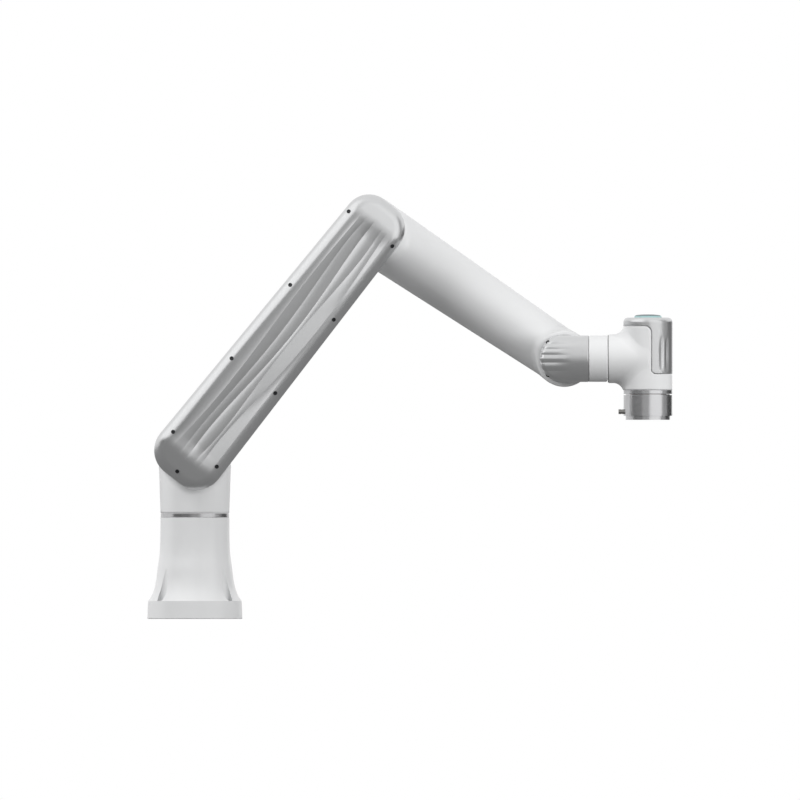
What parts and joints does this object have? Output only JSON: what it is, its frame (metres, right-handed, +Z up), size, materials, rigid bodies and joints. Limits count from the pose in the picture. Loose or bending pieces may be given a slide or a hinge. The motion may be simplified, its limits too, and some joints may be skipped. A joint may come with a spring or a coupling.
{
  "type": "collaborative robot arm",
  "caption": "Six-axis collaborative robot arm with a flared base, long fluted upper arm, tapered forearm, compact wrist and bolted tool flange.",
  "frame": {"origin": "centre of the base's mounting holes, in the base's bottom face, on the base joint's axis", "axes": "+Z up along the base joint's axis, +X the way the arm reaches at rest, +Y away from the viewer"},
  "size_m": [0.8663, 0.245, 0.7006],
  "materials": {
    "white_paint": "cast, white powder coat",
    "satin_grey": "satin metallic",
    "joint_metal": "fine turned",
    "screw_steel": "black oxide",
    "seal_rubber": "matt",
    "light_plastic": "translucent",
    "button_plastic": "satin",
    "panel_plastic": "fine grain",
    "connector_metal": "nickel",
    "cable_jacket": "matt",
    "gear_steel": "ground",
    "motor_windings": "enamelled wire"
  },
  "bodies": {
    "base": {"base_housing": "white_paint", "base_joint_ring": "joint_metal", "base_connector_panel": "panel_plastic", "panel_sockets": "connector_metal", "base_circular_spline": "gear_steel", "base_motor_stator": "motor_windings"},
    "shoulder": {"shoulder_housing": "white_paint", "shoulder_rear_cap": "satin_grey", "shoulder_rear_cap_screws": "screw_steel", "shoulder_joint_ring": "joint_metal", "base_flexspline": "gear_steel", "base_output_bearing": "gear_steel", "shoulder_circular_spline": "gear_steel", "shoulder_motor_stator": "motor_windings"},
    "upper_arm": {"upper_arm_shell": "white_paint", "upper_arm_cover": "satin_grey", "upper_arm_gasket": "seal_rubber", "upper_arm_cover_screws": "screw_steel", "upper_arm_harness": "cable_jacket", "shoulder_flexspline": "gear_steel", "shoulder_output_bearing": "gear_steel", "elbow_flexspline": "gear_steel", "elbow_output_bearing": "gear_steel"},
    "forearm": {"forearm_tube": "white_paint", "elbow_rear_cap": "satin_grey", "elbow_rear_cap_screws": "screw_steel", "elbow_joint_ring": "joint_metal", "wrist_joint_ring": "joint_metal", "elbow_circular_spline": "gear_steel", "elbow_motor_stator": "motor_windings", "wrist_1_flexspline": "gear_steel", "wrist_1_output_bearing": "gear_steel"},
    "wrist_1": {"wrist_1_housing": "white_paint", "wrist_1_cover": "satin_grey", "wrist_1_cover_screws": "screw_steel", "wrist_1_circular_spline": "gear_steel", "wrist_1_motor_stator": "motor_windings", "wrist_2_flexspline": "gear_steel", "wrist_2_output_bearing": "gear_steel"},
    "wrist_2": {"wrist_2_housing": "white_paint", "wrist_2_cover": "satin_grey", "status_light_ring": "light_plastic", "button_return_dome": "seal_rubber", "flange_ring": "joint_metal", "wrist_seal_ring": "seal_rubber", "wrist_2_circular_spline": "gear_steel", "wrist_2_motor_stator": "motor_windings", "tool_circular_spline": "gear_steel", "tool_motor_stator": "motor_windings"},
    "tool": {"tool_flange": "joint_metal", "tool_connector": "connector_metal", "tool_flexspline": "gear_steel", "tool_output_bearing": "gear_steel"},
    "guide_button": {"guide_button": "button_plastic"},
    "base_rotor": {"base_motor_rotor": "gear_steel"},
    "shoulder_rotor": {"shoulder_motor_rotor": "gear_steel"},
    "elbow_rotor": {"elbow_motor_rotor": "gear_steel"},
    "wrist_1_rotor": {"wrist_1_motor_rotor": "gear_steel"},
    "wrist_2_rotor": {"wrist_2_motor_rotor": "gear_steel"},
    "tool_rotor": {"tool_motor_rotor": "gear_steel"}
  },
  "joints": [
    {"name": "base_turn", "type": "hinge", "parent": "base", "child": "shoulder", "pos_m": [0, 0, 0.17], "axis": [0, 0, 1], "range_deg": [-360, 360]},
    {"name": "base_rotor_spin", "type": "hinge", "parent": "base", "child": "base_rotor", "pos_m": [0, 0, 0.17], "axis": [0, 0, 1], "continuous": true},
    {"name": "shoulder_swing", "type": "hinge", "parent": "shoulder", "child": "upper_arm", "pos_m": [0, -0.08, 0.28], "axis": [0, 1, 0], "range_deg": [-173.5, 96.5]},
    {"name": "shoulder_rotor_spin", "type": "hinge", "parent": "shoulder", "child": "shoulder_rotor", "pos_m": [0, -0.08, 0.28], "axis": [0, 1, 0], "continuous": true},
    {"name": "elbow_bend", "type": "hinge", "parent": "upper_arm", "child": "forearm", "pos_m": [0.28972, -0.08, 0.64371], "axis": [0, -1, 0], "range_deg": [-74.7, 235.3]},
    {"name": "elbow_rotor_spin", "type": "hinge", "parent": "forearm", "child": "elbow_rotor", "pos_m": [0.28972, -0.08, 0.64371], "axis": [0, -1, 0], "continuous": true},
    {"name": "wrist_1_turn", "type": "hinge", "parent": "forearm", "child": "wrist_1", "pos_m": [0.6095, -0.074, 0.42931], "axis": [0, -1, 0], "range_deg": [-360, 360]},
    {"name": "wrist_1_rotor_spin", "type": "hinge", "parent": "wrist_1", "child": "wrist_1_rotor", "pos_m": [0.6095, -0.074, 0.42931], "axis": [0, -1, 0], "continuous": true},
    {"name": "wrist_2_turn", "type": "hinge", "parent": "wrist_1", "child": "wrist_2", "pos_m": [0.6815, -0.12, 0.42931], "axis": [1, 0, 0], "range_deg": [-360, 360]},
    {"name": "wrist_2_rotor_spin", "type": "hinge", "parent": "wrist_2", "child": "wrist_2_rotor", "pos_m": [0.6815, -0.12, 0.42931], "axis": [1, 0, 0], "continuous": true},
    {"name": "tool_turn", "type": "hinge", "parent": "wrist_2", "child": "tool", "pos_m": [0.7475, -0.12, 0.36851], "axis": [0, 0, -1], "range_deg": [-360, 360]},
    {"name": "tool_rotor_spin", "type": "hinge", "parent": "wrist_2", "child": "tool_rotor", "pos_m": [0.7475, -0.12, 0.36851], "axis": [0, 0, -1], "continuous": true},
    {"name": "guide_button_press", "type": "slide", "parent": "wrist_2", "child": "guide_button", "axis": [0, 0, -1], "range_m": [0, 0.0012], "stiffness_N_per_m": 1500, "springref_m": -0.0004}
  ],
  "couplings": [
    {"joint": "base_rotor_spin", "follows": "base_turn", "ratio": -100},
    {"joint": "shoulder_rotor_spin", "follows": "shoulder_swing", "ratio": -100},
    {"joint": "elbow_rotor_spin", "follows": "elbow_bend", "ratio": 100},
    {"joint": "wrist_1_rotor_spin", "follows": "wrist_1_turn", "ratio": 100},
    {"joint": "wrist_2_rotor_spin", "follows": "wrist_2_turn", "ratio": 100},
    {"joint": "tool_rotor_spin", "follows": "tool_turn", "ratio": -100}
  ]
}
